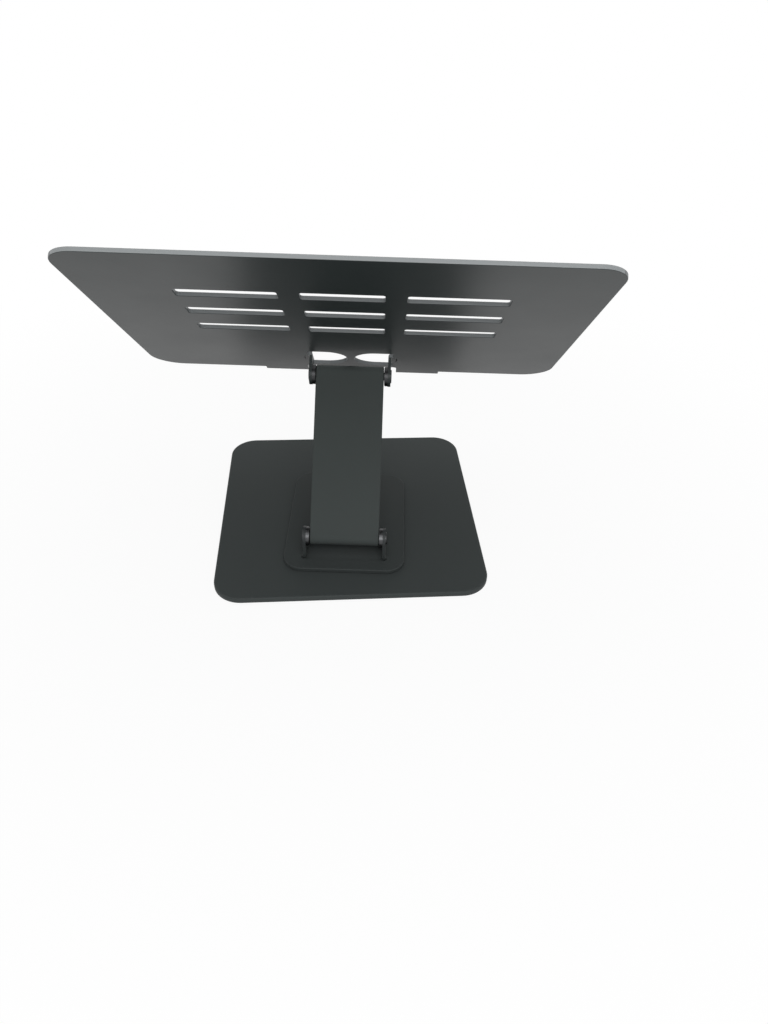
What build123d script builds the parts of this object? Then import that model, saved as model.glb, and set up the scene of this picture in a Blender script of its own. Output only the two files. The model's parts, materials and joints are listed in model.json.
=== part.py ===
from build123d import *
from math import cos, radians, sin
import os

# Folding laptop stand: a slotted tray on a two-hinge arm, over a base that it turns on.
# Millimetres, +Z up. The origin lies on the floor under the swivel axis. X runs across the tray.
# +Y points to the user's side, where the tray is low; left is -X.

os.makedirs("parts", exist_ok=True)

# ---- Fits ----
running_clearance = 0.05      # radial, a pin or post that turns in its bore
seat_clearance = 0.02         # radial, a piece that is held in its seat
side_play = 0.1               # along a hinge, between two turning faces

# ---- Base ----
base_width = 182.0
base_depth = 179.5
base_thickness = 4.0
base_corner = 19.0
base_top_round = 1.2
base_bottom_chamfer = 0.4
base_turn = 5.0               # degrees that the base is turned on the swivel, against the arm
foot_diameter = 22.0
foot_thickness = 2.8
foot_pocket = 1.6             # depth of the pocket that a foot sits in
foot_round = 0.7
foot_inset = 20.0             # from the base's edges to a foot's centre

# ---- Swivel ----
recess_diameter = 44.0
cover_diameter = 50.0
cover_thickness = 0.4
bush_flange_diameter = 64.0
bush_flange_thickness = 0.8
bush_sleeve_diameter = 15.0
post_diameter = 12.0
post_head_diameter = 24.0
post_head_thickness = 1.8
post_socket_width = 5.0       # across the flats of the hexagon socket
post_socket_depth = 2.5
swivel_washer_diameter = 34.0
swivel_washer_thickness = 0.4
swivel_spring_diameter = 28.0
swivel_spring_thickness = 0.35
swivel_spring_height = 0.55
swivel_nut_width = 22.0       # across the flats
swivel_nut_thickness = 0.9
nut_clearance = 0.15          # between the nut and the underside cover

# ---- Swivel bracket ----
bracket_width = 82.0
bracket_rear_reach = 69.0     # from the swivel axis to the rear edge
bracket_front_reach = 37.0
bracket_thickness = 2.5
bracket_corner = 13.0
bracket_edge_round = 0.7
bracket_window_span = 20.0    # from front to rear; the window runs from fold to fold
bracket_window_corner = 2.5

# ---- Hinges: two ears on a plate, with the arm's end between them ----
hinge_offset = 11.5           # from the face that the ears stand on to the hinge axis
ear_thickness = 2.0
ear_radius = 7.0
ear_bend_inside = 0.8         # radius in the corner outside an ear
ear_bend_outside = 2.0        # radius in the corner under an ear's inner face
bend_relief = 1.3             # how far a window runs past an ear's outer face
lower_hinge_setback = 49.7    # behind the swivel axis
pin_diameter = 5.0
pin_head_diameter = 9.0
pin_head_thickness = 0.6
pin_head_round = 0.4
pin_socket_width = 2.5
pin_socket_depth = 1.4
cap_bore_depth = 0.3
hinge_washer_diameter = 13.4
hinge_washer_thickness = 2.0
disc_spring_diameter = 12.4
disc_spring_thickness = 0.3
disc_spring_height = 0.5
hinge_bush_diameter = 7.4
hinge_bush_length = 9.0

# ---- Arm ----
arm_width = 46.2
arm_thickness = 10.4
arm_length = 111.0            # between the hinge axes
arm_overrun = 1.3             # how much further the arm runs past its upper hinge than its lower
arm_angle = 46.0              # degrees above the horizontal
arm_edge_round = 0.8
arm_bore_clearance = 0.4      # radial, around the pin between its two bushes

# ---- Tray ----
tray_width = 280.0
tray_depth = 195.0
tray_thickness = 2.5
tray_tilt = 44.0              # degrees, rear edge up
tray_rear_corner = 16.0
tray_front_corner = 20.0
tray_edge_round = 0.5
tray_hinge_setback = 168.0    # from the rear edge to the hinge axis
slot_width = 9.6
slot_corner = 1.5
slot_rows = 3
slot_row_pitch = 27.7
slot_first_row = 49.9         # from the rear edge
middle_slot_length = 45.5
outer_slot_length = 54.5
outer_slot_centre = 62.1      # from the tray's middle line
window_span = 29.4
window_web = 4.5              # between the two windows
notch_half_width = 31.6
notch_depth = 8.0
notch_corner = 3.0
lip_width = 30.4
lip_reach = 9.0               # how far a lip's outer face stands in front of the tray's edge
lip_height = 20.0             # above the tray's top
lip_bend_inside = 2.0
lip_corner = 6.0
sleeve_wall = 1.4
sleeve_height = 14.0
sleeve_corner = 2.0
sleeve_top_round = 1.2
pad_thickness = 1.2
pad_round = 0.4
rear_pad_length = 150.0
rear_pad_width = 13.0
rear_pad_setback = 24.0       # from the rear edge to the pad's middle
front_pad_length = 62.0
front_pad_width = 14.0
front_pad_centre = 80.0       # from the tray's middle line
front_pad_setback = 150.0     # from the rear edge to the pad's middle

# ---- Heights and places that follow ----
base_bottom = foot_thickness - foot_pocket
base_top = base_bottom + base_thickness
nut_bottom = base_bottom + cover_thickness + nut_clearance
spring_bottom = nut_bottom + swivel_nut_thickness
washer_bottom = spring_bottom + swivel_spring_height
web_bottom = washer_bottom + swivel_washer_thickness
swivel_web = base_top - web_bottom   # what the underside recess leaves of the base
bracket_bottom = base_top + bush_flange_thickness
bracket_top = bracket_bottom + bracket_thickness
post_bore = post_diameter + 2 * running_clearance

hinge_stack = side_play + disc_spring_height + hinge_washer_thickness
arm_side = arm_width / 2
ear_inner = arm_side + hinge_stack
ear_outer = ear_inner + ear_thickness
fold_line = ear_outer + bend_relief
pin_bore = pin_diameter + 2 * running_clearance

lower_hinge = (0, -lower_hinge_setback, bracket_top + hinge_offset)
arm_direction = (0, cos(radians(arm_angle)), sin(radians(arm_angle)))
upper_hinge = tuple(start + arm_length * step for start, step in zip(lower_hinge, arm_direction))

# ---- Planes ----
across_lower = Plane(origin=lower_hinge, x_dir=(0, 1, 0), z_dir=(1, 0, 0))
bracket_plane = Plane(origin=(0, -lower_hinge_setback, bracket_bottom))
arm_plane = Plane(origin=lower_hinge, x_dir=arm_direction, z_dir=(1, 0, 0))

# The tray's plane stands on the upper hinge axis: x across, y towards the lips, z out of its top.
tray_normal = (0, sin(radians(tray_tilt)), cos(radians(tray_tilt)))
tray_plane = Plane(origin=upper_hinge, x_dir=(1, 0, 0), z_dir=tray_normal)
across_upper = Plane(origin=upper_hinge, x_dir=tray_plane.y_dir, z_dir=(1, 0, 0))
tray_underside = tray_plane.offset(hinge_offset)
tray_top = tray_underside.offset(tray_thickness)
tray_front = tray_depth - tray_hinge_setback
lip_bend_outside = lip_bend_inside + tray_thickness
lip_face = tray_front + lip_reach
lip_middle = lip_face - tray_thickness / 2
tray_axis = Axis(upper_hinge, tray_normal)

hinge_planes = {"lower": across_lower, "upper": across_upper}
sides = {"left": -1, "right": 1}


def base_level(height):
    """A level plane at a height, turned with the base."""
    turn = radians(base_turn)
    return Plane(origin=(0, 0, height), x_dir=(cos(turn), sin(turn), 0), z_dir=(0, 0, 1))


def from_rear(distance):
    """A place along the tray, counted from its rear edge, in the tray's plane."""
    return distance - tray_hinge_setback


def ear_profile(root):
    """An ear from the side: round about the hinge axis, and straight to its root over or under it."""
    Circle(ear_radius)
    with Locations((0, root / 2)):
        Rectangle(2 * ear_radius, abs(root))


def ear_root(side):
    """The strip of plate that joins an ear to the plate outside it, and runs on into that plate."""
    root_end = fold_line + ear_thickness
    with Locations((side * (ear_inner + root_end) / 2, 0)):
        Rectangle(root_end - ear_inner, 2 * ear_radius)


def ear_window(side, tip, span):
    """The window that one ear leaves: straight at the fold, and round towards the middle."""
    round_centre = tip + span / 2
    with Locations((side * (round_centre + fold_line) / 2, 0)):
        Rectangle(fold_line - round_centre, span)
    with Locations((side * round_centre, 0)):
        Circle(span / 2)


def lip_section():
    """A retaining lip from the side: it leaves the tray's front edge level and bends upright."""
    low, high = hinge_offset, hinge_offset + tray_thickness
    bend = lip_face - lip_bend_outside
    top = high + lip_height
    bend_top = high + lip_bend_inside
    inside = lip_face - tray_thickness
    root = tray_front - 2 * tray_thickness
    Polyline((bend, high), (root, high), (root, low), (bend, low))
    RadiusArc((bend, low), (lip_face, bend_top), -lip_bend_outside)
    Polyline((lip_face, bend_top), (lip_face, top), (inside, top), (inside, bend_top))
    RadiusArc((inside, bend_top), (bend, high), lip_bend_inside)


def on_lip_corner(middle):
    """Whether an edge's middle, seen from the tray's top, is on a lip's upper corner."""
    return abs(middle.Z - lip_height) + abs(middle.Y - lip_middle) < 0.001


def edges_where(piece, plane, test):
    """The straight edges of a piece whose middle, in a plane's own x, y and z, passes a test."""
    straight = piece.edges().filter_by(GeomType.LINE)
    return [edge for edge in straight if test(plane.to_local_coords(edge.center()))]


def bend_edges(piece, plane, across, height):
    """The edges along both ears' folds, at a distance from the middle and a height over a plane."""
    def on_fold(middle):
        near = abs(abs(middle.X) - across) + abs(middle.Y) + abs(middle.Z - height)
        return near < 0.001
    return edges_where(piece, plane, on_fold)


# ---- Base ----
foot_places = GridLocations(base_width - 2 * foot_inset, base_depth - 2 * foot_inset, 2, 2)

with BuildPart() as base_plate:
    with BuildSketch(base_level(base_bottom)):
        RectangleRounded(base_width, base_depth, base_corner)
    extrude(amount=base_thickness)
    fillet(base_plate.edges().group_by(Axis.Z)[-1], base_top_round)
    chamfer(base_plate.edges().group_by(Axis.Z)[0], base_bottom_chamfer)
    with BuildSketch(base_level(base_bottom)):
        Circle(recess_diameter / 2)
    extrude(amount=base_thickness - swivel_web, mode=Mode.SUBTRACT)
    with BuildSketch(base_level(base_bottom)):
        Circle(cover_diameter / 2 + seat_clearance)
    extrude(amount=cover_thickness, mode=Mode.SUBTRACT)
    with BuildSketch(base_level(base_bottom)):
        with foot_places:
            Circle(foot_diameter / 2 + seat_clearance)
    extrude(amount=foot_pocket, mode=Mode.SUBTRACT)
    with BuildSketch(base_level(web_bottom)):
        Circle(bush_sleeve_diameter / 2 + seat_clearance)
    extrude(amount=swivel_web, mode=Mode.SUBTRACT)

base_plate.part.label = "base_plate"
export_step(base_plate.part, "parts/base_plate.step")

foot_names = ["foot_rear_left", "foot_front_left", "foot_rear_right", "foot_front_right"]
for foot_name, foot_place in zip(foot_names, foot_places.local_locations):
    with BuildPart() as foot:
        with BuildSketch(base_level(0)):
            with Locations(foot_place):
                Circle(foot_diameter / 2)
        extrude(amount=foot_thickness)
        fillet(foot.edges().group_by(Axis.Z)[0], foot_round)
    foot.part.label = foot_name
    export_step(foot.part, f"parts/{foot_name}.step")

with BuildPart() as underside_cover:
    with BuildSketch(base_level(base_bottom)):
        Circle(cover_diameter / 2)
    extrude(amount=cover_thickness)

underside_cover.part.label = "underside_cover"
export_step(underside_cover.part, "parts/underside_cover.step")

# ---- Swivel ----
# The bush's flange carries the bracket, and its sleeve guides the post through the base.
with BuildPart() as swivel_bush:
    with BuildSketch(Plane.XY.offset(base_top)):
        Circle(bush_flange_diameter / 2)
    extrude(amount=bush_flange_thickness)
    with BuildSketch(Plane.XY.offset(web_bottom)):
        Circle(bush_sleeve_diameter / 2)
    extrude(amount=swivel_web)
    with BuildSketch(Plane.XY.offset(web_bottom)):
        Circle(post_bore / 2)
    extrude(amount=swivel_web + bush_flange_thickness, mode=Mode.SUBTRACT)

swivel_bush.part.label = "swivel_bush"
export_step(swivel_bush.part, "parts/swivel_bush.step")

with BuildPart() as swivel_post:
    with BuildSketch(Plane.XY.offset(nut_bottom)):
        Circle(post_diameter / 2)
    extrude(amount=bracket_top - nut_bottom)
    with BuildSketch(Plane.XY.offset(bracket_top)):
        Circle(post_head_diameter / 2)
    extrude(amount=post_head_thickness)
    fillet(swivel_post.edges().group_by(Axis.Z)[-1], post_head_thickness / 2)
    with BuildSketch(Plane.XY.offset(bracket_top + post_head_thickness)):
        RegularPolygon(post_socket_width / 2, 6, major_radius=False)
    extrude(amount=-post_socket_depth, mode=Mode.SUBTRACT)

swivel_post.part.label = "swivel_post"
export_step(swivel_post.part, "parts/swivel_post.step")

with BuildPart() as swivel_washer:
    with BuildSketch(Plane.XY.offset(washer_bottom)):
        Circle(swivel_washer_diameter / 2)
        Circle(post_diameter / 2 + seat_clearance, mode=Mode.SUBTRACT)
    extrude(amount=swivel_washer_thickness)

swivel_washer.part.label = "swivel_washer"
export_step(swivel_washer.part, "parts/swivel_washer.step")

with BuildPart() as swivel_spring:
    with BuildSketch(Plane.XZ):
        with BuildLine():
            inner = post_diameter / 2 + seat_clearance
            outer = swivel_spring_diameter / 2
            crown = washer_bottom
            Polyline(
                (inner, crown - swivel_spring_thickness),
                (inner, crown),
                (outer, spring_bottom + swivel_spring_thickness),
                (outer, spring_bottom),
                close=True,
            )
        make_face()
    revolve(axis=Axis.Z)

swivel_spring.part.label = "swivel_spring"
export_step(swivel_spring.part, "parts/swivel_spring.step")

with BuildPart() as swivel_nut:
    with BuildSketch(Plane.XY.offset(nut_bottom)):
        RegularPolygon(swivel_nut_width / 2, 6, major_radius=False)
        Circle(post_diameter / 2 + seat_clearance, mode=Mode.SUBTRACT)
    extrude(amount=swivel_nut_thickness)

swivel_nut.part.label = "swivel_nut"
export_step(swivel_nut.part, "parts/swivel_nut.step")

# ---- Swivel bracket ----
with BuildPart() as swivel_bracket:
    with BuildSketch(bracket_plane):
        with Locations((0, lower_hinge_setback + (bracket_front_reach - bracket_rear_reach) / 2)):
            RectangleRounded(bracket_width, bracket_front_reach + bracket_rear_reach, bracket_corner)
    extrude(amount=bracket_thickness)
    fillet(swivel_bracket.edges().group_by(Axis.Z)[-1], bracket_edge_round)
    with BuildSketch(bracket_plane):
        RectangleRounded(2 * fold_line, bracket_window_span, bracket_window_corner)
    extrude(amount=bracket_thickness, mode=Mode.SUBTRACT)
    with BuildSketch(bracket_plane):
        for side in sides.values():
            ear_root(side)
    extrude(amount=bracket_thickness)
    for side in sides.values():
        with BuildSketch(across_lower.offset(side * ear_inner)):
            ear_profile(bracket_bottom - lower_hinge[2])
        extrude(amount=side * ear_thickness)
    fillet(bend_edges(swivel_bracket, bracket_plane, ear_outer, bracket_thickness), ear_bend_inside)
    fillet(bend_edges(swivel_bracket, bracket_plane, ear_inner, 0), ear_bend_outside)
    with BuildSketch(across_lower):
        Circle(pin_diameter / 2 + seat_clearance)
    extrude(amount=ear_outer, both=True, mode=Mode.SUBTRACT)
    with BuildSketch(Plane.XY.offset(bracket_bottom)):
        Circle(post_diameter / 2 + seat_clearance)
    extrude(amount=bracket_thickness, mode=Mode.SUBTRACT)

swivel_bracket.part.label = "swivel_bracket"
export_step(swivel_bracket.part, "parts/swivel_bracket.step")

# ---- Arm ----
with BuildPart() as arm:
    with BuildSketch(arm_plane):
        arm_end = arm_length + arm_overrun
        SlotCenterPoint((arm_end / 2, 0), (arm_end, 0), arm_thickness)
    extrude(amount=arm_side, both=True)
    fillet(arm.faces().filter_by(Axis.X).edges(), arm_edge_round)
    with BuildSketch(arm_plane):
        with Locations((0, 0), (arm_length, 0)):
            Circle(pin_diameter / 2 + arm_bore_clearance)
    extrude(amount=arm_side, both=True, mode=Mode.SUBTRACT)
    for side in sides.values():
        with BuildSketch(arm_plane.offset(side * arm_side)):
            with Locations((0, 0), (arm_length, 0)):
                Circle(hinge_bush_diameter / 2 + seat_clearance)
        extrude(amount=-side * hinge_bush_length, mode=Mode.SUBTRACT)

arm.part.label = "arm"
export_step(arm.part, "parts/arm.step")

# ---- Hinge pieces: the same set at the arm's lower and upper end ----
for end, hinge_plane in hinge_planes.items():
    with BuildPart() as hinge_pin:
        with BuildSketch(hinge_plane.offset(-ear_outer)):
            Circle(pin_diameter / 2)
        extrude(amount=2 * ear_outer + cap_bore_depth)
        with BuildSketch(hinge_plane.offset(-ear_outer)):
            Circle(pin_head_diameter / 2)
        extrude(amount=-pin_head_thickness)
        fillet(hinge_pin.edges().group_by(Axis.X)[0], pin_head_round)
        with BuildSketch(hinge_plane.offset(-ear_outer - pin_head_thickness)):
            RegularPolygon(pin_socket_width / 2, 6, major_radius=False)
        extrude(amount=pin_socket_depth, mode=Mode.SUBTRACT)
    hinge_pin.part.label = f"{end}_hinge_pin"
    export_step(hinge_pin.part, f"parts/{end}_hinge_pin.step")

    with BuildPart() as hinge_cap:
        with BuildSketch(hinge_plane.offset(ear_outer)):
            Circle(pin_head_diameter / 2)
        extrude(amount=pin_head_thickness)
        fillet(hinge_cap.edges().group_by(Axis.X)[-1], pin_head_round)
        with BuildSketch(hinge_plane.offset(ear_outer)):
            Circle(pin_diameter / 2 + seat_clearance)
        extrude(amount=cap_bore_depth, mode=Mode.SUBTRACT)
    hinge_cap.part.label = f"{end}_hinge_cap"
    export_step(hinge_cap.part, f"parts/{end}_hinge_cap.step")

    for side_name, side in sides.items():
        with BuildPart() as hinge_bush:
            with BuildSketch(hinge_plane.offset(side * arm_side)):
                Circle(hinge_bush_diameter / 2)
                Circle(pin_bore / 2, mode=Mode.SUBTRACT)
            extrude(amount=-side * hinge_bush_length)
        hinge_bush.part.label = f"{end}_bush_{side_name}"
        export_step(hinge_bush.part, f"parts/{end}_bush_{side_name}.step")

        with BuildPart() as hinge_washer:
            with BuildSketch(hinge_plane.offset(side * ear_inner)):
                Circle(hinge_washer_diameter / 2)
                Circle(pin_diameter / 2 + seat_clearance, mode=Mode.SUBTRACT)
            extrude(amount=-side * hinge_washer_thickness)
        hinge_washer.part.label = f"{end}_washer_{side_name}"
        export_step(hinge_washer.part, f"parts/{end}_washer_{side_name}.step")

        # A disc spring is a shallow cone: its rim bears on the washer, its hole faces the arm.
        with BuildPart() as disc_spring:
            with BuildSketch(Plane(origin=hinge_plane.origin, x_dir=(1, 0, 0), z_dir=(0, -1, 0))):
                with BuildLine():
                    hole = pin_diameter / 2 + seat_clearance
                    rim = disc_spring_diameter / 2
                    at_arm = arm_side + side_play
                    at_washer = at_arm + disc_spring_height
                    Polyline(
                        (side * at_arm, hole),
                        (side * (at_arm + disc_spring_thickness), hole),
                        (side * at_washer, rim),
                        (side * (at_washer - disc_spring_thickness), rim),
                        close=True,
                    )
                make_face()
            revolve(axis=Axis(hinge_plane.origin, (1, 0, 0)))
        disc_spring.part.label = f"{end}_spring_{side_name}"
        export_step(disc_spring.part, f"parts/{end}_spring_{side_name}.step")

# ---- Tray ----
with BuildPart() as tray_panel:
    with BuildSketch(tray_underside) as outline:
        with Locations((0, from_rear(tray_depth / 2))):
            Rectangle(tray_width, tray_depth)
        fillet(outline.vertices().group_by(Axis.Y)[0], tray_rear_corner)
        fillet(outline.vertices().group_by(Axis.Y)[-1], tray_front_corner)
        with Locations((0, tray_front)):
            RectangleRounded(2 * notch_half_width, 2 * notch_depth, notch_corner, mode=Mode.SUBTRACT)
        with Locations((0, from_rear(slot_first_row + slot_row_pitch * (slot_rows - 1) / 2))):
            with GridLocations(0, slot_row_pitch, 1, slot_rows):
                RectangleRounded(middle_slot_length, slot_width, slot_corner, mode=Mode.SUBTRACT)
            with GridLocations(2 * outer_slot_centre, slot_row_pitch, 2, slot_rows):
                RectangleRounded(outer_slot_length, slot_width, slot_corner, mode=Mode.SUBTRACT)
    extrude(amount=tray_thickness)
    faces_by_height = tray_panel.faces().filter_by(tray_plane).sort_by(tray_axis)
    fillet(faces_by_height[0].edges() + faces_by_height[-1].edges(), tray_edge_round)
    with BuildSketch(tray_underside):
        for side in sides.values():
            ear_window(side, window_web / 2, window_span)
    extrude(amount=tray_thickness, mode=Mode.SUBTRACT)
    with BuildSketch(tray_underside):
        for side in sides.values():
            ear_root(side)
    extrude(amount=tray_thickness)
    for side in sides.values():
        with BuildSketch(across_upper.offset(side * ear_inner)):
            ear_profile(hinge_offset + tray_thickness)
        extrude(amount=side * ear_thickness)
        with BuildSketch(across_upper.offset(side * notch_half_width)):
            with BuildLine():
                lip_section()
            make_face()
        extrude(amount=side * lip_width)
    fillet(bend_edges(tray_panel, tray_underside, ear_outer, 0), ear_bend_inside)
    fillet(bend_edges(tray_panel, tray_underside, ear_inner, tray_thickness), ear_bend_outside)
    fillet(edges_where(tray_panel, tray_top, on_lip_corner), lip_corner)
    with BuildSketch(across_upper):
        Circle(pin_diameter / 2 + seat_clearance)
    extrude(amount=ear_outer, both=True, mode=Mode.SUBTRACT)

tray_panel.part.label = "tray_panel"
export_step(tray_panel.part, "parts/tray_panel.step")

# A soft sleeve is pulled over each lip's upper part.
for side_name, side in sides.items():
    with BuildPart() as lip_sleeve:
        with BuildSketch(tray_top.offset(lip_height + sleeve_wall)):
            with Locations((side * (notch_half_width + lip_width / 2), lip_middle)):
                sleeve_width, sleeve_depth = (size + 2 * sleeve_wall for size in (lip_width, tray_thickness))
                RectangleRounded(sleeve_width, sleeve_depth, sleeve_corner)
        extrude(amount=-sleeve_height)
        fillet(lip_sleeve.faces().sort_by(tray_axis)[-1].edges(), sleeve_top_round)
        with BuildSketch(tray_top):
            with Locations((side * (notch_half_width + lip_width / 2), lip_middle)):
                Rectangle(lip_width + 2 * seat_clearance, tray_thickness + 2 * seat_clearance)
        extrude(amount=lip_height + seat_clearance, mode=Mode.SUBTRACT)
    lip_sleeve.part.label = f"lip_sleeve_{side_name}"
    export_step(lip_sleeve.part, f"parts/lip_sleeve_{side_name}.step")

# Anti-slip pads are stuck on the tray's top, clear of the slots.
pads = {
    "tray_pad_rear": (0, rear_pad_setback, rear_pad_length, rear_pad_width),
    "tray_pad_left": (-front_pad_centre, front_pad_setback, front_pad_length, front_pad_width),
    "tray_pad_right": (front_pad_centre, front_pad_setback, front_pad_length, front_pad_width),
}
for pad_name, (pad_across, pad_setback, pad_length, pad_width) in pads.items():
    with BuildPart() as tray_pad:
        with BuildSketch(tray_top):
            with Locations((pad_across, from_rear(pad_setback))):
                SlotOverall(pad_length, pad_width)
        extrude(amount=pad_thickness)
        fillet(tray_pad.edges().sort_by(tray_axis)[-4:], pad_round)
    tray_pad.part.label = pad_name
    export_step(tray_pad.part, f"parts/{pad_name}.step")
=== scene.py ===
import bmesh
import bpy
import json
from math import cos, radians, sin
from mathutils import Matrix, Vector


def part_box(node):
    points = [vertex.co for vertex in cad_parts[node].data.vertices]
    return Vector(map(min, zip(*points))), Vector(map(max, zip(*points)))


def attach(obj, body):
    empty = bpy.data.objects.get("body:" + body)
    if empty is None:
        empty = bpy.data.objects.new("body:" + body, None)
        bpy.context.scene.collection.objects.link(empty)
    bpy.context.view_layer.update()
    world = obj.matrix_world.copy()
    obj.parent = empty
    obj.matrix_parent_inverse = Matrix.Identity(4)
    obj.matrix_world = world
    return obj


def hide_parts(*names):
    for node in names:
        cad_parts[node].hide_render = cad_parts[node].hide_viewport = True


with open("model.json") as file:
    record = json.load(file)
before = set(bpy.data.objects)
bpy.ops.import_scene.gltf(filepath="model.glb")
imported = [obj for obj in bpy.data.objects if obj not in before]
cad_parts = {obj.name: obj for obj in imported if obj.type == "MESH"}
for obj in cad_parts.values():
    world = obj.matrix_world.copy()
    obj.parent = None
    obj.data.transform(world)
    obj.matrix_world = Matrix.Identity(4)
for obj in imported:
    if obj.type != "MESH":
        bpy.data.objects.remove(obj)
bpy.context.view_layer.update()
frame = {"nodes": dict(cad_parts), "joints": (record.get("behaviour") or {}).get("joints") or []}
nodes = frame["nodes"]


# ---- Camera ----
def aim_camera():
    """The camera stands behind the stand, a little to its right, and looks down at it."""
    turn, down, roll = radians(-0.291), radians(39.915), radians(2.028)
    eye = Vector((0.0241, -0.4299, 0.36135))
    level = Matrix.Rotation(turn, 3, "Z") @ Matrix.Rotation(-down, 3, "X")
    right, ahead, up = level.col
    across = cos(roll) * right + sin(roll) * up
    upright = cos(roll) * up - sin(roll) * right
    data = bpy.data.cameras.new("stand_camera")
    data.sensor_fit = "VERTICAL"
    data.sensor_height = 36.0
    data.lens = 26.60
    data.clip_start = 0.01
    data.clip_end = 50.0
    camera = bpy.data.objects.new("stand_camera", data)
    bpy.context.scene.collection.objects.link(camera)
    facing = Matrix((across, upright, -ahead)).transposed().to_4x4()
    camera.matrix_world = Matrix.Translation(eye) @ facing
    bpy.context.scene.camera = camera


aim_camera()


# ---- Shader node helpers ----
def add(tree, kind, place, **settings):
    """A node of one kind, with its settings and its unlinked inputs."""
    node = tree.nodes.new(kind)
    node.location = place
    inputs = settings.pop("inputs", {})
    for name, value in settings.items():
        setattr(node, name, value)
    for name, value in inputs.items():
        node.inputs[name].default_value = value
    return node


def new_group(name, takes, gives):
    """An empty shader node group with named inputs, each with its default, and named outputs."""
    group = bpy.data.node_groups.new(name, "ShaderNodeTree")
    for label, (kind, value) in takes.items():
        socket = group.interface.new_socket(name=label, in_out="INPUT", socket_type=kind)
        socket.default_value = value
    for label, kind in gives.items():
        group.interface.new_socket(name=label, in_out="OUTPUT", socket_type=kind)
    return group


# A Mix node has an A, a B and a result of each kind, so they are told apart by number.
number_a, number_b, colour_a, colour_b = 2, 3, 6, 7
number_result, colour_result = 0, 2


def spread(tree, place, low, high, at_low=0.0, at_high=1.0, **settings):
    """A node that lays the span from low to high over the span from at_low to at_high."""
    spans = {"From Min": low, "From Max": high, "To Min": at_low, "To Max": at_high}
    return add(tree, "ShaderNodeMapRange", place, inputs=spans, **settings)


def scale_for(tree, place, grain_size):
    """The scale of a pattern whose grains have a given size."""
    scale = add(tree, "ShaderNodeMath", place, operation="DIVIDE", inputs={0: 1.0})
    tree.links.new(grain_size, scale.inputs[1])
    return scale.outputs[0]


def product(tree, place, first, second):
    """Two values, multiplied."""
    node = add(tree, "ShaderNodeMath", place, operation="MULTIPLY")
    tree.links.new(first, node.inputs[0])
    tree.links.new(second, node.inputs[1])
    return node.outputs[0]


def tone_from(tree, place, noise, amount):
    """A tone near 1 that follows a noise, by a given amount."""
    across, up = place
    centred = add(tree, "ShaderNodeMath", place, operation="SUBTRACT", inputs={1: 0.5})
    tree.links.new(noise, centred.inputs[0])
    change = product(tree, (across + 180, up), centred.outputs[0], amount)
    tone = add(tree, "ShaderNodeMath", (across + 360, up), operation="ADD", inputs={1: 1.0})
    tree.links.new(change, tone.inputs[0])
    return tone.outputs[0]


def toned(tree, place, colour, tone):
    """A colour made lighter or darker by a tone."""
    shade = add(tree, "ShaderNodeVectorMath", place, operation="SCALE")
    tree.links.new(colour, shade.inputs[0])
    tree.links.new(tone, shade.inputs["Scale"])
    return shade.outputs["Vector"]


# ---- Shared effects ----
def make_satin_coat():
    """Powder coat: a fine pebbled skin, slow changes of tone, and a painted highlight on its rounded
    edges.
    """
    group = new_group(
        "satin_coat",
        {
            "Colour": ("NodeSocketColor", (0.05, 0.05, 0.05, 1)),
            "Edge Highlight Colour": ("NodeSocketColor", (0.1, 0.1, 0.1, 1)),
            "Pebble Size": ("NodeSocketFloat", 0.0012),
            "Tone Change": ("NodeSocketFloat", 0.1),
            "Smooth Roughness": ("NodeSocketFloat", 0.36),
            "Rough Roughness": ("NodeSocketFloat", 0.46),
            "Edge Width": ("NodeSocketFloat", 0.0006),
        },
        {"Colour": "NodeSocketColor", "Roughness": "NodeSocketFloat", "Height": "NodeSocketFloat"},
    )
    takes = add(group, "NodeGroupInput", (-1200, 0))
    gives = add(group, "NodeGroupOutput", (700, 0))
    place = add(group, "ShaderNodeTexCoord", (-1200, 400))
    link = group.links.new

    pebbles = add(group, "ShaderNodeTexNoise", (-800, 350), inputs={"Detail": 3.0, "Roughness": 0.55})
    link(place.outputs["Object"], pebbles.inputs["Vector"])
    link(scale_for(group, (-1000, 250), takes.outputs["Pebble Size"]), pebbles.inputs["Scale"])
    link(pebbles.outputs["Fac"], gives.inputs["Height"])

    clouds = add(group, "ShaderNodeTexNoise", (-800, 50), inputs={"Scale": 28.0, "Detail": 4.0})
    link(place.outputs["Object"], clouds.inputs["Vector"])
    tone = tone_from(group, (-600, 50), clouds.outputs["Fac"], takes.outputs["Tone Change"])

    rounded = add(group, "ShaderNodeBevel", (-800, -250), samples=4)
    link(takes.outputs["Edge Width"], rounded.inputs["Radius"])
    surface = add(group, "ShaderNodeNewGeometry", (-800, -420))
    turned = add(group, "ShaderNodeVectorMath", (-600, -300), operation="DOT_PRODUCT")
    link(rounded.outputs["Normal"], turned.inputs[0])
    link(surface.outputs["Normal"], turned.inputs[1])
    # The cosine of the turn from the true normal to the rounded one falls away from 1 on an edge.
    edge = spread(group, (-400, -300), low=0.995, high=0.90)
    link(turned.outputs["Value"], edge.inputs[0])

    # The edge mask lays a painted highlight, a lighter colour, on rounded edges.
    shade = add(group, "ShaderNodeMix", (200, 50), data_type="RGBA")
    link(edge.outputs[0], shade.inputs[0])
    link(toned(group, (-60, 50), takes.outputs["Colour"], tone), shade.inputs[colour_a])
    link(takes.outputs["Edge Highlight Colour"], shade.inputs[colour_b])
    link(shade.outputs[colour_result], gives.inputs["Colour"])

    gloss = add(group, "ShaderNodeMix", (200, -250))
    link(clouds.outputs["Fac"], gloss.inputs[0])
    link(takes.outputs["Smooth Roughness"], gloss.inputs[number_a])
    link(takes.outputs["Rough Roughness"], gloss.inputs[number_b])
    link(gloss.outputs[number_result], gives.inputs["Roughness"])
    return group


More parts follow.
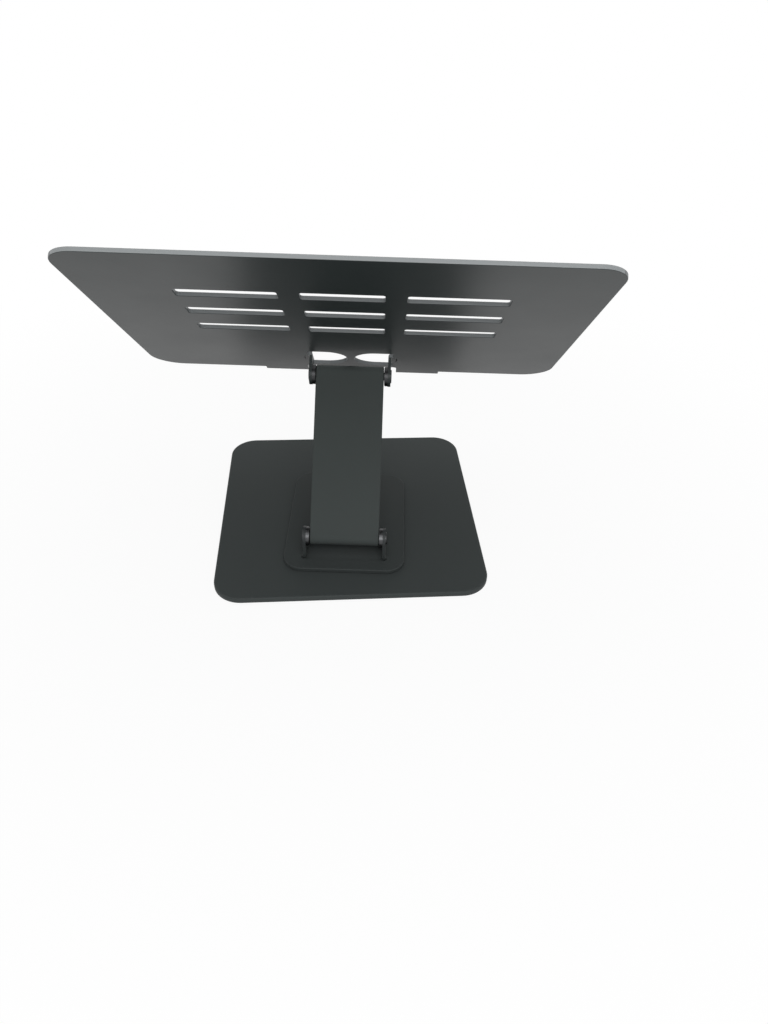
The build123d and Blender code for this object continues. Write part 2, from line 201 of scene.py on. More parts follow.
def make_moulded_skin():
    """Moulded rubber or plastic: a fine matt grain and a little uneven tone."""
    group = new_group(
        "moulded_skin",
        {
            "Colour": ("NodeSocketColor", (0.02, 0.02, 0.02, 1)),
            "Grain Size": ("NodeSocketFloat", 0.0006),
            "Tone Change": ("NodeSocketFloat", 0.25),
            "Roughness": ("NodeSocketFloat", 0.7),
        },
        {"Colour": "NodeSocketColor", "Roughness": "NodeSocketFloat", "Height": "NodeSocketFloat"},
    )
    takes = add(group, "NodeGroupInput", (-1000, 0))
    gives = add(group, "NodeGroupOutput", (600, 0))
    place = add(group, "ShaderNodeTexCoord", (-1000, 300))
    link = group.links.new
    grain = add(group, "ShaderNodeTexVoronoi", (-600, 300))
    link(place.outputs["Object"], grain.inputs["Vector"])
    link(scale_for(group, (-800, 200), takes.outputs["Grain Size"]), grain.inputs["Scale"])
    link(grain.outputs["Distance"], gives.inputs["Height"])
    bloom = add(group, "ShaderNodeTexNoise", (-600, 0), inputs={"Scale": 60.0, "Detail": 5.0})
    link(place.outputs["Object"], bloom.inputs["Vector"])
    tone = tone_from(group, (-420, 0), bloom.outputs["Fac"], takes.outputs["Tone Change"])
    link(toned(group, (150, 50), takes.outputs["Colour"], tone), gives.inputs["Colour"])
    link(product(group, (150, -200), takes.outputs["Roughness"], tone), gives.inputs["Roughness"])
    return group


def make_turned_steel():
    """Lathe-turned steel: fine rings round an axis, and slight staining."""
    group = new_group(
        "turned_steel",
        {
            "Colour": ("NodeSocketColor", (0.5, 0.5, 0.5, 1)),
            "Axis Place": ("NodeSocketVector", (0, 0, 0)),
            "Ring Plane": ("NodeSocketVector", (0, 1, 1)),
            "Ring Pitch": ("NodeSocketFloat", 0.0003),
            "Roughness": ("NodeSocketFloat", 0.3),
        },
        {"Colour": "NodeSocketColor", "Roughness": "NodeSocketFloat", "Height": "NodeSocketFloat"},
    )
    takes = add(group, "NodeGroupInput", (-1200, 0))
    gives = add(group, "NodeGroupOutput", (700, 0))
    place = add(group, "ShaderNodeTexCoord", (-1200, 300))
    link = group.links.new
    from_axis = add(group, "ShaderNodeVectorMath", (-1000, 250), operation="SUBTRACT")
    link(place.outputs["Object"], from_axis.inputs[0])
    link(takes.outputs["Axis Place"], from_axis.inputs[1])
    flat = add(group, "ShaderNodeVectorMath", (-820, 250), operation="MULTIPLY")
    link(from_axis.outputs[0], flat.inputs[0])
    link(takes.outputs["Ring Plane"], flat.inputs[1])
    radius = add(group, "ShaderNodeVectorMath", (-640, 250), operation="LENGTH")
    link(flat.outputs[0], radius.inputs[0])
    rings = add(group, "ShaderNodeMath", (-460, 250), operation="DIVIDE")
    link(radius.outputs["Value"], rings.inputs[0])
    link(takes.outputs["Ring Pitch"], rings.inputs[1])
    fine = {"Scale": 1.0, "Detail": 4.0}
    groove = add(group, "ShaderNodeTexNoise", (-280, 250), noise_dimensions="1D", inputs=fine)
    link(rings.outputs[0], groove.inputs["W"])
    link(groove.outputs["Fac"], gives.inputs["Height"])
    stain = add(group, "ShaderNodeTexNoise", (-460, -50), inputs={"Scale": 400.0, "Detail": 4.0})
    link(place.outputs["Object"], stain.inputs["Vector"])
    stained = spread(group, (-240, -50), low=0.2, high=0.8, at_low=0.8, at_high=1.1)
    link(stain.outputs["Fac"], stained.inputs[0])
    tone = stained.outputs[0]
    link(toned(group, (0, 50), takes.outputs["Colour"], tone), gives.inputs["Colour"])
    link(product(group, (0, -200), takes.outputs["Roughness"], tone), gives.inputs["Roughness"])
    return group


beyond_the_stand = 10.0


def make_plate_edge():
    """A mask for the cut edges of a flat plate, which its outline, slots and windows show."""
    group = new_group(
        "plate_edge",
        {
            "Plate Normal": ("NodeSocketVector", (0, 0, 1)),
            "Plate Middle": ("NodeSocketVector", (0, 0, 0)),
            "Half Thickness": ("NodeSocketFloat", 0.001),
            "Reach": ("NodeSocketFloat", beyond_the_stand),
        },
        {"Mask": "NodeSocketFloat"},
    )
    takes = add(group, "NodeGroupInput", (-1100, 0))
    gives = add(group, "NodeGroupOutput", (500, 0))
    place = add(group, "ShaderNodeTexCoord", (-1100, 300))
    link = group.links.new
    from_middle = add(group, "ShaderNodeVectorMath", (-900, 250), operation="SUBTRACT")
    link(place.outputs["Object"], from_middle.inputs[0])
    link(takes.outputs["Plate Middle"], from_middle.inputs[1])
    height = add(group, "ShaderNodeVectorMath", (-720, 250), operation="DOT_PRODUCT")
    link(from_middle.outputs[0], height.inputs[0])
    link(takes.outputs["Plate Normal"], height.inputs[1])
    off_middle = add(group, "ShaderNodeMath", (-540, 250), operation="ABSOLUTE")
    link(height.outputs["Value"], off_middle.inputs[0])
    share = add(group, "ShaderNodeMath", (-360, 250), operation="DIVIDE")
    link(off_middle.outputs[0], share.inputs[0])
    link(takes.outputs["Half Thickness"], share.inputs[1])
    # In shares of the half thickness, the mask ends a little outside the plate.
    within = spread(group, (-180, 250), low=1.15, high=1.0)
    link(share.outputs[0], within.inputs[0])

    facing = add(group, "ShaderNodeVectorMath", (-720, -100), operation="DOT_PRODUCT")
    link(place.outputs["Normal"], facing.inputs[0])
    link(takes.outputs["Plate Normal"], facing.inputs[1])
    either_way = add(group, "ShaderNodeMath", (-540, -100), operation="ABSOLUTE")
    link(facing.outputs["Value"], either_way.inputs[0])
    # A face starts to count as cut from 37 degrees off the plate's own face, and wholly from 60.
    upright = spread(group, (-180, -100), low=0.8, high=0.5)
    link(either_way.outputs[0], upright.inputs[0])

    distance = add(group, "ShaderNodeVectorMath", (-720, -350), operation="LENGTH")
    link(from_middle.outputs[0], distance.inputs[0])
    near = add(group, "ShaderNodeMath", (-180, -350), operation="LESS_THAN")
    link(distance.outputs["Value"], near.inputs[0])
    link(takes.outputs["Reach"], near.inputs[1])

    cut_face = product(group, (50, 100), within.outputs[0], upright.outputs[0])
    link(product(group, (250, 100), cut_face, near.outputs[0]), gives.inputs["Mask"])
    return group


satin_coat = make_satin_coat()
moulded_skin = make_moulded_skin()
turned_steel = make_turned_steel()
plate_edge = make_plate_edge()


# ---- The tray's own frame: x across, y down its slope to the lips, z out of its top ----
hinge_axis = {joint["child"]: Vector(joint["pos_m"]) for joint in frame["joints"]}
tray_tilt = radians(44.0)
tray_normal = Vector((0, sin(tray_tilt), cos(tray_tilt)))
tray_slope = Vector((0, cos(tray_tilt), -sin(tray_tilt)))
tray_turn = Matrix((Vector((1, 0, 0)), tray_slope, tray_normal)).transposed().to_4x4()
tray_place = Matrix.Translation(hinge_axis["tray"]) @ tray_turn
underside_height = 0.0115
tray_thickness = 0.0025
top_height = underside_height + tray_thickness
tray_middle = tray_place @ Vector((0, 0, underside_height + tray_thickness / 2))


# ---- Materials ----
def rgba(red, green, blue):
    """A colour that lets nothing through."""
    return (red, green, blue, 1.0)


def finish_of(name, effect, values, bump, depth, metallic=0.0, specular=0.5):
    """A material whose colour, roughness and relief come from one shared effect."""
    material = bpy.data.materials.new(name)
    material.use_nodes = True
    tree = material.node_tree
    tree.nodes.clear()
    out = add(tree, "ShaderNodeOutputMaterial", (700, 0))
    shader = add(tree, "ShaderNodeBsdfPrincipled", (400, 0))
    shader.name = "surface"
    shader.inputs["Metallic"].default_value = metallic
    shader.inputs["Specular IOR Level"].default_value = specular
    skin = add(tree, "ShaderNodeGroup", (-300, 0), node_tree=effect)
    skin.name = "skin"
    for label, value in values.items():
        skin.inputs[label].default_value = value
    relief = add(tree, "ShaderNodeBump", (100, -300), inputs={"Strength": bump, "Distance": depth})
    tree.links.new(skin.outputs["Colour"], shader.inputs["Base Color"])
    tree.links.new(skin.outputs["Roughness"], shader.inputs["Roughness"])
    tree.links.new(skin.outputs["Height"], relief.inputs["Height"])
    tree.links.new(relief.outputs["Normal"], shader.inputs["Normal"])
    tree.links.new(shader.outputs["BSDF"], out.inputs["Surface"])
    return material


def coat(name, colour, edge, smooth, rough, specular):
    """A satin paint, by its colour, the colour of the painted highlight on its edges, and how rough it is.
    """
    values = {
        "Colour": rgba(*colour),
        "Edge Highlight Colour": rgba(*edge),
        "Smooth Roughness": smooth,
        "Rough Roughness": rough,
    }
    return finish_of(name, satin_coat, values, bump=0.25, depth=0.00004, specular=specular)


def show_cut_edges_and_highlights(material, colour, roughness, normal, middles, thickness, reach=beyond_the_stand):
    """Lays a colour over a paint on the edges of plates that lie the same way: a bare cut face, and on the
    tray's rear edge a painted highlight.
    """
    tree = material.node_tree
    shader = tree.nodes["surface"]
    under = {label: shader.inputs[label].links[0].from_socket for label in ("Base Color", "Roughness")}
    mask = None
    for number, middle in enumerate(middles):
        edge = add(tree, "ShaderNodeGroup", (-500, -400 - 250 * number), node_tree=plate_edge)
        edge.inputs["Plate Normal"].default_value = normal
        edge.inputs["Plate Middle"].default_value = middle
        edge.inputs["Half Thickness"].default_value = thickness / 2
        edge.inputs["Reach"].default_value = reach
        if mask is None:
            mask = edge.outputs["Mask"]
            continue
        either = add(tree, "ShaderNodeMath", (-250, -400 - 250 * number), operation="MAXIMUM")
        tree.links.new(mask, either.inputs[0])
        tree.links.new(edge.outputs["Mask"], either.inputs[1])
        mask = either.outputs[0]
    laid_colour = {colour_b: rgba(*colour)}
    paint = add(tree, "ShaderNodeMix", (100, 200), data_type="RGBA", inputs=laid_colour)
    tree.links.new(mask, paint.inputs[0])
    tree.links.new(under["Base Color"], paint.inputs[colour_a])
    tree.links.new(paint.outputs[colour_result], shader.inputs["Base Color"])
    gloss = add(tree, "ShaderNodeMix", (100, -50), inputs={number_b: roughness})
    tree.links.new(mask, gloss.inputs[0])
    tree.links.new(under["Roughness"], gloss.inputs[number_a])
    tree.links.new(gloss.outputs[number_result], shader.inputs["Roughness"])


def steel_on(name, place, ring_plane, colour, roughness):
    """Turned steel whose rings run round an axis through a place, square to the rings' plane."""
    values = {
        "Colour": rgba(*colour),
        "Axis Place": place,
        "Ring Plane": ring_plane,
        "Roughness": roughness,
    }
    return finish_of(name, turned_steel, values, bump=0.2, depth=0.00003, metallic=1.0)


def moulded(name, colour, roughness, bump, depth):
    """A rubber or a plastic, by its colour, its roughness and how deep its grain is."""
    values = {"Colour": rgba(*colour), "Roughness": roughness}
    return finish_of(name, moulded_skin, values, bump, depth)


# One charcoal paint in four copies, each made lighter or darker for the light on its part.
base_coat = coat(
    "base_coat",
    colour=(0.050, 0.0570, 0.0562),
    edge=(0.078, 0.088, 0.087),
    smooth=0.48,
    rough=0.60,
    specular=0.12,
)
# Painted shade: a darker copy of the base's paint, for the bracket under the arm.
shaded_bracket_coat = coat(
    "shaded_bracket_coat",
    colour=(0.042, 0.0480, 0.0473),
    edge=(0.051, 0.058, 0.057),
    smooth=0.46,
    rough=0.56,
    specular=0.12,
)
# Painted light: a lighter copy of the same paint, for the arm's face.
lit_arm_coat = coat(
    "lit_arm_coat",
    colour=(0.058, 0.0665, 0.0645),
    edge=(0.068, 0.077, 0.075),
    smooth=0.50,
    rough=0.60,
    specular=0.05,
)
# Painted shade: a much darker copy of the same paint, for the tray's shaded underside.
shaded_tray_coat = coat(
    "shaded_tray_coat",
    colour=(0.019, 0.0248, 0.0248),
    edge=(0.032, 0.038, 0.038),
    smooth=0.34,
    rough=0.42,
    specular=0.30,
)

cut_metal = (0.125, 0.134, 0.137)
show_cut_edges_and_highlights(
    shaded_tray_coat,
    cut_metal,
    roughness=0.38,
    normal=tray_normal,
    middles=[tray_middle],
    thickness=tray_thickness,
)

# The rear edge gets a painted highlight: it alone is painted bright over its cut face. The mask's ball is
# so large that it cuts the tray off straight.
rear_edge_highlight = (0.280, 0.296, 0.300)
rear_edge = -0.168
highlight_depth = 0.006
ball = 10.0
ball_middle = tray_middle + (rear_edge + highlight_depth - ball) * tray_slope
show_cut_edges_and_highlights(
    shaded_tray_coat,
    rear_edge_highlight,
    roughness=0.34,
    normal=tray_normal,
    middles=[ball_middle],
    thickness=tray_thickness,
    reach=ball,
)

# The bracket's ears are worn a little smoother on their edges, but not down at their folds.
ear_metal = (0.045, 0.049, 0.050)
ear_middle = 0.0267
ear_thickness = 0.002
ear_reach = 0.0078
ear_middles = [hinge_axis["arm"] + Vector((side * ear_middle, 0, 0)) for side in (-1, 1)]
show_cut_edges_and_highlights(
    shaded_bracket_coat,
    ear_metal,
    roughness=0.28,
    normal=Vector((1, 0, 0)),
    middles=ear_middles,
    thickness=ear_thickness,
    reach=ear_reach,
)

foot_rubber = moulded("foot_rubber", (0.018, 0.018, 0.019), roughness=0.7, bump=0.3, depth=0.00006)
pad_silicone = moulded("pad_silicone", (0.030, 0.031, 0.032), roughness=0.62, bump=0.2, depth=0.00004)
bush_nylon = moulded("bush_nylon", (0.05, 0.05, 0.05), roughness=0.5, bump=0.1, depth=0.00003)
cover_plastic = moulded("cover_plastic", (0.02, 0.02, 0.021), roughness=0.6, bump=0.3, depth=0.00005)

black_steel = (0.055, 0.056, 0.058)
# Painted highlight: the lower hinge's steel is a lighter copy of the same blackened steel, for the glints
# on it.
painted_highlight_steel = (0.080, 0.082, 0.085)
upright_plane = (0, 1, 1)
level_plane = (1, 1, 0)
lower_steel = steel_on("lower_hinge_steel_painted_highlight", hinge_axis["arm"], upright_plane, painted_highlight_steel, 0.34)
upper_steel = steel_on("upper_hinge_steel", hinge_axis["tray"], upright_plane, black_steel, 0.42)
swivel_steel = steel_on("swivel_steel", hinge_axis["turntable"], level_plane, black_steel, 0.42)


def give(material, name):
    """Puts a finish on a CAD node."""
    for slot in nodes[name].material_slots:
        slot.material = material


own_finish = {
    "base_plate": base_coat,
    "swivel_bracket": shaded_bracket_coat,
    "arm": lit_arm_coat,
    "tray_panel": shaded_tray_coat,
    "underside_cover": cover_plastic,
}
for name in nodes:
    if name in own_finish:
        give(own_finish[name], name)
    elif name.startswith("foot_"):
        give(foot_rubber, name)
    elif name.startswith(("tray_pad_", "lip_sleeve_")):
        give(pad_silicone, name)
    elif "bush" in name:
        give(bush_nylon, name)
    elif name.startswith("lower_"):
        give(lower_steel, name)
    elif name.startswith("upper_"):
        give(upper_steel, name)
    else:
        give(swivel_steel, name)


# ---- Ribs: a row of low, half-round bars that grows out of a moulded body ----
def make_rib_row():
    """A Geometry Nodes tree that joins a row of ribs to the body it is given."""
    tree = bpy.data.node_groups.new("rib_row", "GeometryNodeTree")
    tree.is_modifier = True
    new_socket = tree.interface.new_socket
    new_socket(name="Geometry", in_out="INPUT", socket_type="NodeSocketGeometry")
    sizes = {"Rib Length": 0.02, "Rib Width": 0.0012, "Rib Height": 0.0003, "Flat Side Turn": 0.0}
    for label, size in sizes.items():
        new_socket(name=label, in_out="INPUT", socket_type="NodeSocketFloat").default_value = size
    new_socket(name="Rib Count", in_out="INPUT", socket_type="NodeSocketInt").default_value = 4
    for label in ("First Rib", "Rib Step"):
        new_socket(name=label, in_out="INPUT", socket_type="NodeSocketVector")
    new_socket(name="Finish", in_out="INPUT", socket_type="NodeSocketMaterial")
    new_socket(name="Geometry", in_out="OUTPUT", socket_type="NodeSocketGeometry")

    takes = add(tree, "NodeGroupInput", (-1200, 0))
    gives = add(tree, "NodeGroupOutput", (900, 0))
    link = tree.links.new
    unit_bar = {"Vertices": 14, "Radius": 1.0, "Depth": 1.0}
    bar = add(tree, "GeometryNodeMeshCylinder", (-900, 300), inputs=unit_bar)
    lay = add(tree, "GeometryNodeTransform", (-700, 300), inputs={"Rotation": (0, radians(90), 0)})
    link(bar.outputs["Mesh"], lay.inputs["Geometry"])
    half_width = add(tree, "ShaderNodeMath", (-900, 0), operation="MULTIPLY", inputs={1: 0.5})
    link(takes.outputs["Rib Width"], half_width.inputs[0])
    size = add(tree, "ShaderNodeCombineXYZ", (-700, 50))
    link(takes.outputs["Rib Length"], size.inputs[0])
    link(half_width.outputs[0], size.inputs[1])
    link(takes.outputs["Rib Height"], size.inputs[2])
    sized = add(tree, "GeometryNodeTransform", (-500, 300))
    link(lay.outputs["Geometry"], sized.inputs["Geometry"])
    link(size.outputs[0], sized.inputs["Scale"])
    turn = add(tree, "ShaderNodeCombineXYZ", (-500, 0))
    link(takes.outputs["Flat Side Turn"], turn.inputs[0])
    turned = add(tree, "GeometryNodeTransform", (-300, 300))
    link(sized.outputs["Geometry"], turned.inputs["Geometry"])
    link(turn.outputs[0], turned.inputs["Rotation"])
    row = add(tree, "GeometryNodeMeshLine", (-500, -300))
    row.mode = "OFFSET"
    link(takes.outputs["Rib Count"], row.inputs["Count"])
    link(takes.outputs["First Rib"], row.inputs["Start Location"])
    link(takes.outputs["Rib Step"], row.inputs["Offset"])
    ribs = add(tree, "GeometryNodeInstanceOnPoints", (-100, 100))
    link(row.outputs["Mesh"], ribs.inputs["Points"])
    link(turned.outputs["Geometry"], ribs.inputs["Instance"])
    loose = add(tree, "GeometryNodeRealizeInstances", (100, 100))
    link(ribs.outputs["Instances"], loose.inputs["Geometry"])
    union = add(tree, "GeometryNodeMeshBoolean", (300, 0), operation="UNION", solver="EXACT")
    link(takes.outputs["Geometry"], union.inputs["Mesh 2"])
    link(loose.outputs["Geometry"], union.inputs["Mesh 2"])
    whole = add(tree, "GeometryNodeRealizeInstances", (500, 0))
    link(union.outputs["Mesh"], whole.inputs["Geometry"])
    finish = add(tree, "GeometryNodeSetMaterial", (700, 0))
    link(whole.outputs["Geometry"], finish.inputs["Geometry"])
    link(takes.outputs["Finish"], finish.inputs["Material"])
    link(finish.outputs["Geometry"], gives.inputs["Geometry"])
    return tree


rib_row = make_rib_row()


def add_ribs(body, finish, length, width, height, count, first, step, turn=0.0):
    """Adds one row of ribs to a body, as a modifier."""
    modifier = body.modifiers.new("ribs", "NODES")
    modifier.node_group = rib_row
    values = {
        "Rib Length": length,
        "Rib Width": width,
        "Rib Height": height,
        "Rib Count": count,
        "First Rib": first,
        "Rib Step": step,
        "Flat Side Turn": turn,
        "Finish": finish,
    }
    for item in rib_row.interface.items_tree:
        if item.in_out == "INPUT" and item.name in values:
            modifier[item.identifier] = values[item.name]


def body_from(name, points, faces):
    """An object from corner points and faces, with its faces turned outwards."""
    mesh = bpy.data.meshes.new(name)
    form = bmesh.new()
    corners = [form.verts.new(point) for point in points]
    for face in faces:
        form.faces.new([corners[i] for i in face])
    bmesh.ops.recalc_face_normals(form, faces=form.faces)
    form.to_mesh(mesh)
    form.free()
    body = bpy.data.objects.new(name, mesh)
    bpy.context.scene.collection.objects.link(body)
    return body


sharp_bend = radians(50)
smooth_bend = radians(38)


def round_edges(body, width, segments=2):
    """Rounds the sharp edges of a body, as a modifier."""
    modifier = body.modifiers.new("rounded", "BEVEL")
    modifier.width = width
    modifier.segments = segments
    modifier.limit_method = "ANGLE"
    modifier.angle_limit = sharp_bend


def finished(body, material, place, node, body_name):
    """Turns a body and its modifiers into a plain mesh in its place, which stands for a CAD node."""
    bpy.context.view_layer.update()
    evaluated = body.evaluated_get(bpy.context.evaluated_depsgraph_get())
    mesh = bpy.data.meshes.new_from_object(evaluated)
    mesh.name = body.name
    body.modifiers.clear()
    body.data = mesh
    mesh.transform(place)
    mesh.materials.clear()
    mesh.materials.append(material)
    for polygon in mesh.polygons:
        polygon.material_index = 0
    mesh.shade_smooth()
    mesh.set_sharp_from_angle(angle=smooth_bend)
    mesh.update()
    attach(body, body_name)
    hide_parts(node)
    return body


def prism(outline, low, high):
    """The points and faces of an upright solid over an outline."""
    count = len(outline)
    points = [(x, y, low) for x, y in outline] + [(x, y, high) for x, y in outline]
    faces = [tuple(range(count)), tuple(range(count, 2 * count))]
    for i in range(count):
        after = (i + 1) % count
        faces.append((i, after, count + after, count + i))
    return points, faces


def arc(centre, radius, start, end, steps=16):
    """Points along an arc, by its angles in degrees."""
    points = []
    for i in range(steps + 1):
        angle = radians(start + (end - start) * i / steps)
        points.append((centre[0] + radius * cos(angle), centre[1] + radius * sin(angle)))
    return points


# ---- Anti-slip pads: a strip with round ends, and ribs along it that face the laptop ----
pad_body_height = 0.0009
pad_edge_round = 0.0003
pad_ribs = 4
pad_rib_width = 0.0013
pad_rib_height = 0.0003


def make_pad(node, across, along, length, width):
    """A pad that lies across the tray, at a place given from the tray's hinge."""
    straight = (length - width) / 2
    outline = arc((straight, 0), width / 2, -90, 90) + arc((-straight, 0), width / 2, 90, 270)
    pad = body_from(node.replace("tray_pad", "grip_pad"), *prism(outline, 0, pad_body_height))
    round_edges(pad, pad_edge_round)
    pitch = width / (pad_ribs + 1)
    first = (0, -(pad_ribs - 1) / 2 * pitch, pad_body_height)
    step = (0, pitch, 0)
    add_ribs(pad, pad_silicone, 2 * straight, pad_rib_width, pad_rib_height, pad_ribs, first, step)
    place = tray_place @ Matrix.Translation((across, along, top_height))
    return finished(pad, pad_silicone, place, node, "tray")


make_pad("tray_pad_rear", across=0.0, along=-0.144, length=0.150, width=0.013)
make_pad("tray_pad_left", across=-0.080, along=-0.018, length=0.062, width=0.014)
make_pad("tray_pad_right", across=0.080, along=-0.018, length=0.062, width=0.014)


# ---- Lip sleeves: soft caps over the lips' upper parts, ribbed on both faces ----
lip_width = 0.0304
lip_corner = 0.006
lip_centre = 0.0468
lip_middle = 0.03475
lip_height = 0.020
sleeve_wall = 0.0014
sleeve_height = 0.014
sleeve_seat = 0.00002
sleeve_edge_round = 0.0005
sleeve_ribs = 4
sleeve_rib_pitch = 0.0022
sleeve_rib_width = 0.0011
sleeve_rib_height = 0.0003
sleeve_rib_inset = 0.003


def cap_outline(half_width, corner, low, high):
    """A cap from the front: square below and round at its upper corners."""
    right = arc((half_width - corner, high - corner), corner, 0, 90, steps=10)
    left = arc((corner - half_width, high - corner), corner, 90, 180, steps=10)
    return [(half_width, low)] + right + left + [(-half_width, low)]


def make_sleeve(node, across):
    """A cap that is open below, with the lip's own shape as its pocket."""
    wall = sleeve_wall - sleeve_rib_height
    pocket_top = sleeve_height - sleeve_wall + sleeve_seat
    outside = cap_outline(lip_width / 2 + sleeve_wall, lip_corner + sleeve_wall, 0.0, sleeve_height)
    inside = cap_outline(lip_width / 2 + sleeve_seat, lip_corner, 0.0, pocket_top)
    outer_half = tray_thickness / 2 + wall
    inner_half = tray_thickness / 2 + sleeve_seat
    count = len(outside)
    points = []
    for outline, half in ((outside, outer_half), (inside, inner_half)):
        points += [(x, -half, z) for x, z in outline]
        points += [(x, half, z) for x, z in outline]
    front, back, pocket_front, pocket_back = (k * count for k in range(4))
    faces = [tuple(start + i for i in range(count)) for start in (front, back, pocket_front, pocket_back)]
    for near, far in ((front, back), (pocket_front, pocket_back)):
        for i in range(count - 1):
            faces.append((near + i, near + i + 1, far + i + 1, far + i))
    last = count - 1
    faces.append((front, front + last, pocket_front + last, pocket_front))
    faces.append((back, back + last, pocket_back + last, pocket_back))
    faces.append((front, back, pocket_back, pocket_front))
    faces.append((front + last, back + last, pocket_back + last, pocket_front + last))
    sleeve = body_from(node.replace("lip_sleeve", "lip_cap"), points, faces)
    round_edges(sleeve, sleeve_edge_round, segments=3)
    length = lip_width - 2 * sleeve_rib_inset
    for side in (-1, 1):
        first = (0, side * outer_half, sleeve_rib_pitch)
        step = (0, 0, sleeve_rib_pitch)
        sizes = (length, sleeve_rib_width, sleeve_rib_height)
        add_ribs(sleeve, pad_silicone, *sizes, sleeve_ribs, first, step, turn=radians(90))
    sleeve_foot = top_height + lip_height + sleeve_wall - sleeve_height
    place = tray_place @ Matrix.Translation((across, lip_middle, sleeve_foot))
    return finished(sleeve, pad_silicone, place, node, "tray")


make_sleeve("lip_sleeve_left", across=-lip_centre)
make_sleeve("lip_sleeve_right", across=lip_centre)


# ---- Rubber feet: turned discs with a domed edge and two grooves that grip the desk ----
foot_radius = 0.011
foot_height = 0.0028
groove_depth = 0.0005
# The radius and the height of each corner, from the middle of the sole out and up.
foot_profile = [
    (0.0, groove_depth),
    (0.0022, groove_depth),
    (0.0026, 0.0),
    (0.0050, 0.0),
    (0.0054, groove_depth),
    (0.0062, groove_depth),
    (0.0066, 0.0),
    (0.0102, 0.0),
    (0.0107, 0.0002),
    (foot_radius, 0.0007),
    (foot_radius, foot_height),
    (0.0, foot_height),
]
foot_sides = 48


def make_foot(node):
    """Turns the profile into a closed disc, with one point at each end of its axis."""
    low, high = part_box(node)
    centre = (low + high) / 2
    points, faces, rings = [], [], []
    for radius, height in foot_profile:
        if radius == 0.0:
            rings.append([len(points)])
            points.append((0, 0, height))
            continue
        rings.append(list(range(len(points), len(points) + foot_sides)))
        turn = radians(360 / foot_sides)
        points += [(radius * cos(i * turn), radius * sin(i * turn), height) for i in range(foot_sides)]
    for ring, after in zip(rings, rings[1:]):
        for i in range(foot_sides):
            j = (i + 1) % foot_sides
            loop = [ring[i % len(ring)], ring[j % len(ring)], after[j % len(after)], after[i % len(after)]]
            faces.append(tuple(dict.fromkeys(loop)))
    foot = body_from(node.replace("foot", "rubber_foot"), points, faces)
    place = Matrix.Translation((centre.x, centre.y, 0))
    return finished(foot, foot_rubber, place, node, "base")


for name in [name for name in nodes if name.startswith("foot_")]:
    make_foot(name)


# ---- Floor and light ----
floor_half = 12.0
shadow_reach = (0.15, 0.5)
white_near = 0.92
room_colour = (0.98, 0.99, 1.0)
room_strength = 0.48


def seen_or_mirrored(tree):
    """1 where the eye, a reflection or a clear piece looks, and 0 for the light that falls on things."""
    path = add(tree, "ShaderNodeLightPath", (-800, 200))
    either = add(tree, "ShaderNodeMath", (-600, 200), operation="MAXIMUM")
    tree.links.new(path.outputs["Is Camera Ray"], either.inputs[0])
    tree.links.new(path.outputs["Is Glossy Ray"], either.inputs[1])
    seen = add(tree, "ShaderNodeMath", (-400, 200), operation="MAXIMUM")
    tree.links.new(either.outputs[0], seen.inputs[0])
    tree.links.new(path.outputs["Is Transmission Ray"], seen.inputs[1])
    return seen.outputs[0]


def make_floor_paint():
    """A pale floor that looks white, and on which shadows still show."""
    material = bpy.data.materials.new("pale_floor")
    material.use_nodes = True
    tree = material.node_tree
    shader = tree.nodes["Principled BSDF"]
    shader.inputs["Base Color"].default_value = rgba(0.9, 0.9, 0.9)
    shader.inputs["Roughness"].default_value = 0.9
    shader.inputs["Specular IOR Level"].default_value = 0.1
    place = add(tree, "ShaderNodeTexCoord", (-800, -100))
    distance = add(tree, "ShaderNodeVectorMath", (-600, -100), operation="LENGTH")
    tree.links.new(place.outputs["Object"], distance.inputs[0])
    near, far = shadow_reach
    whiteness = spread(tree, (-400, -100), near, far, at_low=white_near, interpolation_type="SMOOTHSTEP")
    tree.links.new(distance.outputs["Value"], whiteness.inputs[0])
    share = product(tree, (-200, 100), seen_or_mirrored(tree), whiteness.outputs[0])
    white = add(tree, "ShaderNodeEmission", (0, -200), inputs={"Strength": 1.0})
    white.inputs["Color"].default_value = rgba(1, 1, 1)
    choose = add(tree, "ShaderNodeMixShader", (300, 0))
    tree.links.new(share, choose.inputs[0])
    tree.links.new(shader.outputs[0], choose.inputs[1])
    tree.links.new(white.outputs[0], choose.inputs[2])
    tree.links.new(choose.outputs[0], tree.nodes["Material Output"].inputs["Surface"])
    return material


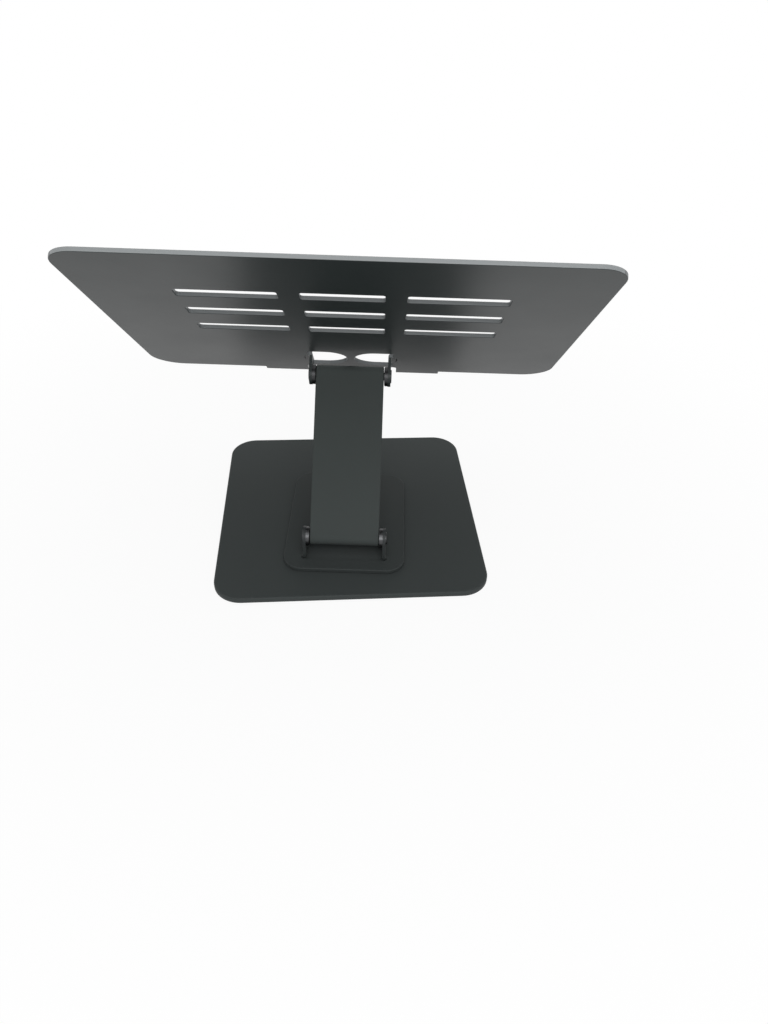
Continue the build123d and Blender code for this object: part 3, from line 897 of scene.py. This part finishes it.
def lay_floor():
    """A plain floor, wide enough to fill every view."""
    mesh = bpy.data.meshes.new("floor")
    ends = ((-1, -1), (1, -1), (1, 1), (-1, 1))
    corners = [(x * floor_half, y * floor_half, 0) for x, y in ends]
    mesh.from_pydata(corners, [], [(0, 1, 2, 3)])
    floor = bpy.data.objects.new("floor", mesh)
    bpy.context.scene.collection.objects.link(floor)
    mesh.materials.append(make_floor_paint())


def hang_lamp(name, place, target, size, power):
    """An area lamp that hangs at a place and shines at a target."""
    data = bpy.data.lights.new(name, "AREA")
    data.shape = "RECTANGLE"
    data.size, data.size_y = size
    data.energy = power
    lamp = bpy.data.objects.new(name, data)
    bpy.context.scene.collection.objects.link(lamp)
    lamp.location = place
    lamp.rotation_euler = (Vector(target) - Vector(place)).to_track_quat("-Z", "Y").to_euler()


def light_room():
    """Even light from all round, with white for what is seen or mirrored."""
    world = bpy.data.worlds.new("soft_room")
    world.use_nodes = True
    bpy.context.scene.world = world
    tree = world.node_tree
    soft = tree.nodes["Background"]
    soft.inputs["Color"].default_value = rgba(*room_colour)
    soft.inputs["Strength"].default_value = room_strength
    white = add(tree, "ShaderNodeBackground", (0, -200), inputs={"Strength": 1.0})
    white.inputs["Color"].default_value = rgba(1, 1, 1)
    choose = add(tree, "ShaderNodeMixShader", (200, 0))
    tree.links.new(seen_or_mirrored(tree), choose.inputs[0])
    tree.links.new(soft.outputs[0], choose.inputs[1])
    tree.links.new(white.outputs[0], choose.inputs[2])
    tree.links.new(choose.outputs[0], tree.nodes["World Output"].inputs["Surface"])


lay_floor()
light_room()
hang_lamp("overhead", place=(0.0, -0.1, 1.6), target=(0, 0, 0.05), size=(1.2, 1.2), power=3.0)
hang_lamp("over_the_shoulder", place=(0.0, -0.7, 1.45), target=(0, 0, 0.08), size=(1.0, 0.6), power=0.8)
hang_lamp("behind", place=(0.12, -0.85, 0.70), target=(0, 0, 0.06), size=(0.7, 0.5), power=3.8)
bpy.context.scene.view_settings.view_transform = "Standard"
